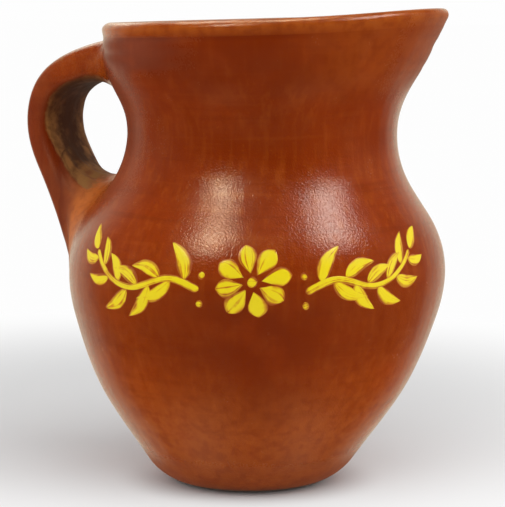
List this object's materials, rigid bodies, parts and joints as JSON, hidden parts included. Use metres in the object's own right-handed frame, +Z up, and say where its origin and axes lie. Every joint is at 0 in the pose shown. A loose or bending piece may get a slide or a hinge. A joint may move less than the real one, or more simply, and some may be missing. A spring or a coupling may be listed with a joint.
{
  "type": "water jug",
  "caption": "Hand-built clay water jug with a round belly, waisted neck, flared rim pulled out into a pouring lip, and a broad strap handle luted to neck and shoulder.",
  "frame": {"origin": "middle of the flat foot, on the surface the jug stands on", "axes": "+Z up along the jug, +X towards the pouring lip, -X towards the handle"},
  "size_m": [0.1648, 0.1392, 0.1756],
  "materials": {
    "body_clay": "satin",
    "rim_clay": "satin",
    "handle_clay": "satin",
    "foot_clay": "matte",
    "painted_slip": "satin"
  },
  "bodies": {
    "root": {"base_disc": "foot_clay", "lower_belly": "body_clay", "shoulder": "body_clay", "neck": "body_clay", "rim_bead": "rim_clay", "handle_strap": "handle_clay", "handle_upper_joint": "handle_clay", "handle_lower_joint": "handle_clay"}
  },
  "joints": []
}
